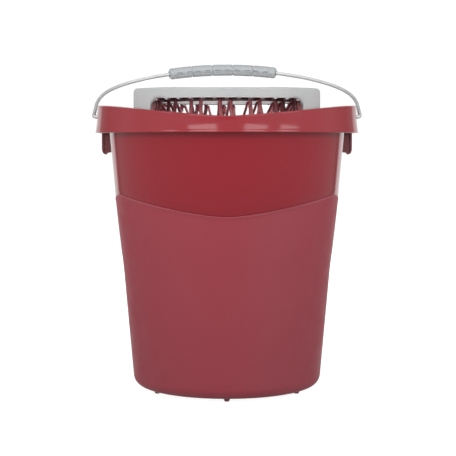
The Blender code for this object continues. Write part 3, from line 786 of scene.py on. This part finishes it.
def bail_side(fullness):
    """Points of the wire from its right end to the middle of its crown."""
    end = COLLAR_LOW_RADIUS - PIVOT_DEPTH
    elbow = (BAIL_HALF_WIDTH - ELBOW_RADIUS, ELBOW_RADIUS)
    corner = (BAIL_HALF_WIDTH - CORNER_RADIUS, ARM_LENGTH)
    turned = 90 - degrees(CROWN_HALF_ANGLE)
    side = [(end, 0), ((end + elbow[0]) / 2, 0), *arc(elbow, ELBOW_RADIUS, -90, 0, 10)]
    for angle in spread(0, turned, 25):
        out = fullness * smooth_step(angle, *CORNER_ONSET)
        side.append(at_angle(corner, CORNER_RADIUS + out, angle))
    for angle in spread(turned, 90, 41)[1:]:
        out = SHOULDER_FULLNESS * smooth_step(SHOULDER_END - angle, 0, SHOULDER_FADE)
        near_corner = smooth_step(turned + CORNER_FADE - angle, 0, CORNER_FADE)
        out += (fullness - SHOULDER_FULLNESS) * near_corner
        side.append(at_angle((0, CROWN_CENTRE), CROWN_RADIUS + out, angle))
    return side


def bail_route():
    """Points of the wire from its left end to its right end."""
    left = [(-x, y) for x, y in bail_side(LEFT_FULLNESS)[:-1]]
    return left + bail_side(RIGHT_FULLNESS)[::-1]


def build_bail():
    route = [bail_plane @ Vector((x, y, 0)) for x, y in bail_route()]
    across = bail_plane.to_3x3() @ Vector((0, 0, 1))
    bm = bmesh.new()
    widths = [WIRE_RADIUS] * len(route)
    add_tube(bm, route, across, widths, WIRE_RADIUS, WIRE_SIDES)
    add_piece("bail_rod", bm, [bail_steel], "bail", "bail_wire")


LAST_GROOVE = (GRIP_SEGMENTS / 2 - 1) * GRIP_PITCH
CAP_START = GRIP_LENGTH / 2 - GRIP_CAP
TONGUE_REACH = TONGUE_HEIGHT / GRIP_RADIUS


def grip_radius(along):
    """Outer radius at a distance from the grip's middle, with its grooves and its rounded ends."""
    radius = GRIP_RADIUS
    grooves = [((i + 0.5) * GRIP_PITCH, GROOVE_DEPTH) for i in range(GRIP_SEGMENTS // 2)]
    for place, depth in grooves + [(CAP_START, GRIP_CAP_GROOVE)]:
        away = (abs(along) - place) / GROOVE_HALF
        radius -= depth * max(1 - away**2, 0.0) ** 0.7
    to_end = GRIP_LENGTH / 2 - abs(along)
    if to_end < GRIP_CAP_ROUND:
        rest = GRIP_CAP_ROUND - to_end
        radius -= GRIP_CAP_ROUND - sqrt(max(GRIP_CAP_ROUND**2 - rest**2, 0.0))
    return radius


def tongue(along):
    """How far the lower half reaches up into the upper half, as an angle."""
    if abs(along) > CAP_START:
        return 0.0
    if abs(along) > LAST_GROOVE:
        in_segment = abs(along) - (LAST_GROOVE + CAP_START) / 2
    else:
        in_segment = (along + LAST_GROOVE) % GRIP_PITCH - GRIP_PITCH / 2
    away = abs(abs(in_segment) - GRIP_PITCH / 4)
    side = TONGUE_WIDTH / 2
    rise = 1 - smooth_step(away, side - TONGUE_EDGE / 2, side + TONGUE_EDGE / 2)
    return TONGUE_REACH * rise


def grip_point(along, radius, angle):
    turn = (along - GRIP_SHIFT) / CROWN_RADIUS
    reach = CROWN_RADIUS + radius * cos(angle)
    x, y = reach * sin(turn), CROWN_CENTRE + reach * cos(turn)
    return bail_plane @ Vector((x, y, radius * sin(angle)))


def grip_half(name, upper, materials, node):
    """One half shell: the seam lies in the bail's plane, and the lower half's tongues break it."""
    columns = []
    places = spread(-GRIP_LENGTH / 2, GRIP_LENGTH / 2, GRIP_COLUMNS)
    gap = SEAM_GAP / 2 / GRIP_RADIUS
    for along in places:
        reach = tongue(along)
        if upper:
            start, end = reach + gap, pi - reach - gap
        else:
            start, end = pi - reach + gap, 2 * pi + reach - gap
        outer = grip_radius(along) - (0 if upper else LOWER_HALF_RECESS)
        rounding = GRIP_EDGE / outer
        section = [(outer - GRIP_EDGE, start)]
        angles = spread(start + rounding, end - rounding, GRIP_SAMPLES)
        section += [(outer, angle) for angle in angles]
        section.append((outer - GRIP_EDGE, end))
        section += [(GRIP_BORE, angle) for angle in spread(end, start, GRIP_BORE_SAMPLES)]
        columns.append([grip_point(along, radius, angle) for radius, angle in section])
    bm = bmesh.new()
    strips = add_loft(bm, columns)
    for along, strip in zip(places, strips):
        # The tongues' rows along the seam take the painted shadow.
        if not upper and tongue(along) > TONGUE_REACH / 2:
            for row in range(TONGUE_ROWS):
                strip[row].material_index = 1
                strip[GRIP_SAMPLES - row].material_index = 1
    add_piece(name, bm, materials, "grip", node)


# Wringer


def frame_outline():
    """Columns of the cap: point, outward direction, window's axis, place across it, its half."""
    corner_x = FRAME_SIDE - FRAME_CORNER
    corner_y = sqrt((FRAME_RADIUS - FRAME_CORNER) ** 2 - corner_x**2)
    arc_end = atan2(corner_x, corner_y)
    quadrant = []
    front_end = FRAME_RADIUS * sin(arc_end)
    for across in window_samples(WINDOW_HALF, front_end):
        outward = Vector((across / FRAME_RADIUS, -sqrt(1 - (across / FRAME_RADIUS) ** 2), 0))
        past_window = smooth_step(across, WINDOW_HALF + LEG_CURL, front_end)
        axis = Vector((0, -1, 0)).lerp(outward, past_window)
        quadrant.append((outward * FRAME_RADIUS, outward, axis, across, WINDOW_HALF))
    for turn in spread(arc_end, pi / 2, 9)[1:-1]:
        outward = Vector((sin(turn), -cos(turn), 0))
        point = Vector((corner_x, -corner_y, 0)) + outward * FRAME_CORNER
        quadrant.append((point, outward, outward, point.x, WINDOW_HALF))
    for y in window_samples(SIDE_WINDOW_HALF, corner_y)[::-1]:
        outward = Vector((1, 0, 0))
        quadrant.append((Vector((FRAME_SIDE, -y, 0)), outward, outward, y, SIDE_WINDOW_HALF))
    right = quadrant + [flipped(column, 1, -1) for column in quadrant[-2::-1]]
    left = [flipped(column, -1, 1) for column in right[-2:0:-1]]
    return right + left


def flipped(column, sign_x, sign_y):
    point, outward, axis, across, half = column
    mirror = Vector((sign_x, sign_y, 1))
    return (point * mirror, outward * mirror, axis * mirror, across, half)


def window_samples(half, end):
    """Places from a window's middle to the end of its side, close together round its corner."""
    corner = half - WINDOW_ROUND
    places = spread(0, corner, int(corner / WINDOW_STEP))
    for place in RIB_PLACES:
        tip = (place - RIB_TIP_INNER, place, place + RIB_TIP_OUTER / 2, place + RIB_TIP_OUTER)
        places += [x for x in tip if 0.2 * MM < x < corner - 0.2 * MM]
    places = apart(sorted(places))
    places += [corner + WINDOW_ROUND * sin(radians(a)) for a in spread(9, 84, 12)]
    places += [half - 0.04 * MM, half]
    places += [half + LEG_CURL * (1 - cos(radians(a))) for a in spread(18, 90, 7)]
    places += spread(half + LEG_CURL, end, 7)[1:]
    return places


def apart(places):
    """The sorted places without those that all but meet the one before them."""
    kept = places[:1]
    for place in places[1:]:
        if place - kept[-1] > LEAST_STEP:
            kept.append(place)
    return kept


def rib_tip(place):
    """How far the end of the rib at a place hangs below the skirt's edge."""
    return RIB_TIP + RIB_TIP_GROWTH * (place / RIB_PLACES[-1]) ** 2


def window_edge(across, half):
    """Height of the cap's lower edge, with the ribs' tips along the front and rear windows."""
    if across >= half:
        return FRAME_FOOT
    past = max(across - (half - WINDOW_ROUND), 0.0)
    edge = WINDOW_TOP - WINDOW_ROUND + sqrt(WINDOW_ROUND**2 - past**2)
    if half == WINDOW_HALF and not past:
        for place in RIB_PLACES:
            away = across - place
            share = 1 - (away / RIB_TIP_OUTER if away > 0 else -away / RIB_TIP_INNER)
            edge -= rib_tip(place) * max(share, 0.0)
    return edge


def curl(across, half, height):
    """How far the outer face turns in where it comes near a window."""
    beside = across - (half - WINDOW_ROUND)
    above = height - (WINDOW_TOP - WINDOW_ROUND)
    away = hypot(max(beside, 0), max(above, 0)) + min(max(beside, above), 0) - WINDOW_ROUND
    radius = blend(EDGE_CURL, LEG_CURL, smooth_step(beside, -8 * MM, WINDOW_ROUND * 0.8))
    inside = min(max(radius - away, 0.0), radius)
    return radius - sqrt(radius**2 - inside**2)


def cap_section(point, outward, axis, across, half):
    """One closed section of the cap: outer face, top, mouth, throat, underside, inner face.

    The second result is the place of the throat's inner face in it.
    """
    foot = window_edge(across, half)
    toward = Vector((point.x, point.y, 0)).normalized()
    top = blend(CAP_TOP, FRAME_TOP, smooth_step(abs(point.x), *CAP_RISE_SPAN))
    rounding = blend(FRAME_ROUND, SIDE_ROUND, smooth_step(abs(point.x), *SIDE_ROUND_SPAN))
    shoulder = top - rounding
    section = []

    def skirt(height, inset, direction):
        place = point - direction * inset
        section.append((place.x, place.y, height))

    def round_mouth(radius, height):
        section.append((toward.x * radius, toward.y * radius, height))

    rows = [foot + EDGE_CURL * share for share in (0, 0.1, 0.3, 0.6, 1.0)]
    rows += spread(foot + EDGE_CURL, shoulder, 15)[1:]
    for height in rows:
        skirt(height, curl(across, half, height), axis)
    for inset, height in arc((rounding, shoulder), rounding, 180, 90, 6)[1:]:
        skirt(height, inset, outward)
    lip = MOUTH_RADIUS + FRAME_ROUND
    edge = point - outward * rounding
    for share in (0.25, 0.5, 0.75):
        place = edge.lerp(toward * lip, share)
        section.append((place.x, place.y, blend(top, CAP_TOP, share)))
    for radius, height in arc((lip, CAP_TOP - FRAME_ROUND), FRAME_ROUND, 90, 180, 6):
        round_mouth(radius, height)
    throat_row = len(section) - 1
    hem = 0.8 * MM
    round_mouth(MOUTH_RADIUS, THROAT_EDGE + hem)
    round_mouth(MOUTH_RADIUS + hem, THROAT_EDGE)
    round_mouth(THROAT_RADIUS - hem, THROAT_EDGE)
    round_mouth(THROAT_RADIUS, THROAT_EDGE + hem)
    below = FRAME_TOP - FRAME_PLATE
    fillet = 1.0 * MM
    round_mouth(THROAT_RADIUS, below - fillet)
    round_mouth(THROAT_RADIUS + fillet, below)
    skirt(below, FRAME_WALL + fillet, axis)
    for height in spread(below - fillet, foot, 12):
        skirt(height, max(FRAME_WALL, curl(across, half, height) + LEG_EDGE), axis)
    return section, throat_row


def build_cap():
    bm = bmesh.new()
    columns = []
    for column in frame_outline():
        section, throat_row = cap_section(*column)
        columns.append(section)
    for strip in add_loft(bm, columns, around=True):
        # The throat's inner face takes the lighter grey, painted light.
        strip[throat_row].material_index = 1
    materials = [wringer_grey, throat_painted_light]
    add_piece("wringer_cap", bm, materials, "wringer", "wringer_frame")


def build_ribs():
    """Parallel ribs under the cap, between the skirts and the ring."""
    bm = bmesh.new()
    ring = RING_RADIUS + 0.8 * MM
    wall = FRAME_RADIUS - FRAME_WALL + 0.4 * MM
    top = FRAME_TOP - FRAME_PLATE + 0.4 * MM
    foot = WINDOW_TOP + 0.2 * MM
    half = RIB_THICKNESS / 2
    for x in RIB_PLACES:
        start = sqrt(wall**2 - x**2)
        end = sqrt(max(ring**2 - x**2, 0.0))
        for side in (-1, 1):
            slices = []
            for y in (start, start - RIB_TIP_LENGTH, end + 1.5 * MM, end):
                low = foot - RIB_SLOPE * (start - y) / (start - end)
                low -= rib_tip(x) if y == start else 0.0
                outline = [(half, top), (half * 0.9, low + 0.5 * MM), (half * 0.55, low)]
                outline += [(-px, pz) for px, pz in outline[::-1]]
                slices.append([(x + px, side * y, pz) for px, pz in outline])
            add_loft(bm, slices)
    # The ribs take the lighter grey, painted light.
    add_piece("cap_ribs", bm, [rib_painted_light], "wringer", "wringer_frame")


def build_ring():
    """The basket's ring round the throat, above the bends of the fingers."""
    low, high = WINDOW_TOP + 0.6 * MM, RING_TOP
    outer = RING_RADIUS
    inner = THROAT_RADIUS + SEAT_GAP
    edge = 0.7 * MM
    profile = arc((outer - edge, high - edge), edge, 90, 0, 4)
    profile += arc((outer - edge, low + edge), edge, 0, -90, 4)
    profile += [(inner, low), (inner, high)]
    bm = bmesh.new()
    add_turned(bm, profile, 160)
    add_piece("ring_moulding", bm, [finger_red], "wringer", "basket_ring")
    return (inner + 1.0 * MM + outer) / 2, THROAT_EDGE - SEAT_GAP


def finger_route(root_radius, root_height):
    """(radius, aside, height, half width) points of a hairpin: outer strut, bend, inner strut."""
    slope = (sin(CONE_ANGLE), cos(CONE_ANGLE))
    top = (root_radius, root_height - FINGER_RADIUS - FINGER_BEND)
    length = (top[0] - CUP_RADIUS - FINGER_BEND) / slope[0]
    foot = (top[0] - length * slope[0], top[1] - length * slope[1])
    low = foot[1] - FINGER_BEND - FINGER_RADIUS

    def aside(height):
        """How far the outer strut stands aside. The inner one stands as far the other way."""
        opened = blend(FINGER_OPEN, 1, smooth_step(top[1] - height, 0, LEAN_DEPTH))
        return FINGER_LEAN * opened * smooth_step(height, foot[1], (foot[1] + top[1]) / 2)

    def half_width(height, at_top):
        return blend(FINGER_RADIUS, at_top, smooth_step(height, foot[1], top[1]))

    route = []
    for share in spread(0, 1, 30)[:-1]:
        bow = OUTER_BOW * sin(pi * share) ** 0.8
        radius = foot[0] + length * slope[0] * share + bow * slope[1] + FINGER_BEND
        height = foot[1] + length * slope[1] * share - bow * slope[0]
        route.append((radius, aside(height), height, half_width(height, FINGER_TOP_RADIUS)))
    turned = 180 - degrees(CONE_ANGLE)
    for i, (radius, height) in enumerate(arc(top, FINGER_BEND, 0, turned, 10)):
        across = FINGER_LEAN * FINGER_OPEN * cos(pi * i / 10)
        width = blend(FINGER_TOP_RADIUS, FINGER_INNER_RADIUS, i / 10)
        route.append((radius, across, height, width))
    first = route[-1]
    last = (CUP_RADIUS, foot[1] + FINGER_BEND)
    for share in spread(0, 1, 26)[1:]:
        radius = blend(first[0], last[0], share)
        height = blend(first[2], last[1], share)
        across = -aside(min(height, top[1]))
        route.append((radius, across, height, half_width(height, FINGER_INNER_RADIUS)))
    start = [(CUP_RADIUS - FINGER_RADIUS * 0.5, low), (foot[0] - FINGER_RADIUS, low)]
    start.append((foot[0] + FINGER_RADIUS * 0.4, low + 0.5 * MM))
    return [(radius, 0.0, height, FINGER_RADIUS) for radius, height in start] + route[2:]


def build_fingers(root_radius, root_height):
    route = finger_route(root_radius, root_height)
    points = [Vector((aside, -radius, height)) for radius, aside, height, _ in route]
    widths = [half_width for _, _, _, half_width in route]
    across = Vector((1, 0, 0))
    bm = bmesh.new()
    add_tube(bm, points, across, widths, FINGER_THICKNESS, FINGER_SIDES)
    root_place = -root_radius - FINGER_BEND
    heights = spread(root_height - FINGER_RADIUS - FINGER_BEND - 3 * MM, FINGER_ROOT_TOP, 7)
    root = [Vector((FINGER_LEAN * FINGER_OPEN, root_place, height)) for height in heights]
    widths = [FINGER_TOP_RADIUS] * len(root)
    add_tube(bm, root, across, widths, FINGER_THICKNESS, FINGER_SIDES)
    mesh = finish_mesh("hairpin", bm, [finger_red])
    for i in range(2 * FINGER_PAIRS):
        pair, side = divmod(i, 2)
        azimuth = PATTERN_TURN + 2 * pi * pair / FINGER_PAIRS
        azimuth += PAIR_HALF_ANGLE * (1 if side else -1)
        number = f"{i + 1:02d}"
        place_piece(f"hairpin_{number}", mesh, "wringer", f"finger_{number}", azimuth)


def build_cup():
    """The dish that the fingers' lower ends meet, with a rounded rim and a drain."""
    low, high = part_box("basket_cup")
    outer = high.x
    wall = 2.2 * MM
    drain = 5.0 * MM
    edge = 1.0 * MM
    bevel = 0.6 * MM
    profile = arc((outer - edge, high.z - edge), edge, 90, 0, 4)
    profile += arc((outer - 3 * edge, low.z + 3 * edge), 3 * edge, 0, -90, 6)
    profile += [(drain + bevel, low.z), (drain, low.z + bevel), (drain, low.z + wall - bevel)]
    profile += [(drain + bevel, low.z + wall)]
    profile += arc((outer - wall - 2 * edge, low.z + wall + 2 * edge), 2 * edge, -90, 0, 4)
    profile += [(outer - wall, high.z - 0.5 * MM), (outer - wall + 0.5 * MM, high.z)]
    bm = bmesh.new()
    add_turned(bm, profile, 96)
    add_piece("drain_cup", bm, [finger_red], "wringer", "basket_cup")


# Stage, lights and camera


def build_stage():
    material = bpy.data.materials.new("studio_floor")
    nodes = Nodes(material)
    inputs = {"Base Color": FLOOR_GREY, "Roughness": FLOOR_ROUGHNESS}
    inputs.update({"Emission Color": WHITE, "Emission Strength": FLOOR_GLOW})
    nodes.feed(nodes.tree.nodes["Principled BSDF"], inputs)
    bm = bmesh.new()
    bmesh.ops.create_grid(bm, x_segments=1, y_segments=1, size=FLOOR_SIZE)
    floor = add_object("studio_floor", finish_mesh("studio_floor", bm, [material]))
    floor.location.z = -FLOOR_DROP
    floor.visible_glossy = False
    floor.visible_diffuse = False


def build_world():
    """A white tent: plain to the camera, with bright and dim parts to all surfaces."""
    world = bpy.data.worlds.new("studio")
    bpy.context.scene.world = world
    nodes = Nodes(world)
    nodes.tree.nodes.clear()
    add = nodes.add

    def levels(axis, stops):
        """Brightness by how far a direction points along an axis."""
        way = add("ShaderNodeMapRange", {"From Min": -1.0, "Value": direction[axis]})
        greys = [(place, (level, level, level)) for place, level in stops]
        return nodes.ramp(way.outputs["Result"], greys)

    def mixed(how, first, second):
        inputs = {"Factor": 1.0, "A": first, "B": second}
        return add("ShaderNodeMix", inputs, data_type="RGBA", blend_type=how).outputs["Result"]

    place = add("ShaderNodeTexCoord").outputs["Generated"]
    direction = add("ShaderNodeSeparateXYZ", {"Vector": place}).outputs
    walls = mixed("MULTIPLY", levels("Y", WORLD_DEPTH), levels("Z", WORLD_SHADE))
    bands = mixed("MULTIPLY", levels("Z", WORLD_HEIGHT), levels("Y", WORLD_GAP))
    tent = mixed("LIGHTEN", walls, bands)
    ray = add("ShaderNodeLightPath").outputs
    inputs = {"To Min": WORLD_GLOSS, "To Max": WORLD_FILL, "Value": ray["Is Diffuse Ray"]}
    level = add("ShaderNodeMapRange", inputs).outputs["Result"]
    studio = add("ShaderNodeBackground", {"Color": tent, "Strength": level}).outputs[0]
    seen = add("ShaderNodeBackground", {"Color": WHITE, "Strength": WORLD_SEEN}).outputs[0]
    choice = add("ShaderNodeMixShader", {"Fac": ray["Is Camera Ray"], 1: studio, 2: seen})
    add("ShaderNodeOutputWorld", {"Surface": choice.outputs["Shader"]})


def add_lamp(name, azimuth, level, height, size, power, pitch):
    """A soft box at a level distance from the axis, which looks at it, tipped down by pitch."""
    light = bpy.data.lights.new(name, "AREA")
    light.shape = "RECTANGLE"
    light.size, light.size_y = size
    light.energy = power
    lamp = add_object(name, light)
    turn = radians(azimuth)
    lamp.location = round_about(level, turn, height)
    lamp.rotation_euler = (radians(90) - pitch, 0, turn)
    return lamp


def build_lights():
    pitch = atan(BOX_LIFT / BOX_LEVEL)
    for name, azimuth, power in BOXES:
        lamp = add_lamp(name, azimuth, BOX_LEVEL, BOX_AIM + BOX_LIFT, BOX_SIZE, power, pitch)
        lamp.visible_glossy = False
    for name, start, end, foot, height, radiance in GLOSS_PANELS:
        low = COLLAR_EDGE + GLOSS_LEVEL * tan(radians(foot))
        width = 2 * GLOSS_LEVEL * tan(radians(end - start) / 2)
        power = pi * radiance * width * height
        middle = (start + end) / 2
        lamp = add_lamp(name, middle, GLOSS_LEVEL, low + height / 2, (width, height), power, 0.0)
        lamp.visible_diffuse = False


def build_camera():
    data = bpy.data.cameras.new("camera")
    data.sensor_width = SENSOR
    data.lens = FOCAL_PIXELS / PICTURE * SENSOR
    camera = add_object("camera", data)
    camera.location = CAMERA_PLACE
    camera.rotation_euler.x = radians(90) - atan(HORIZON_PIXELS / FOCAL_PIXELS)
    bpy.context.scene.camera = camera


def main():
    bpy.context.scene.view_settings.view_transform = "Standard"
    build_camera()
    build_stage()
    build_world()
    build_lights()
    build_bucket()
    build_lugs()
    build_feet()
    build_seats()
    build_bail()
    grip_half("grip_top_half", True, [grip_grey], "grip_upper")
    # The lower half takes the painted-light grey, and its tongues the painted shadow.
    grip_half("grip_bottom_half", False, [grip_lower_painted_light, grip_tongue_painted_shadow], "grip_lower")
    build_cap()
    build_ribs()
    build_fingers(*build_ring())
    build_cup()


main()
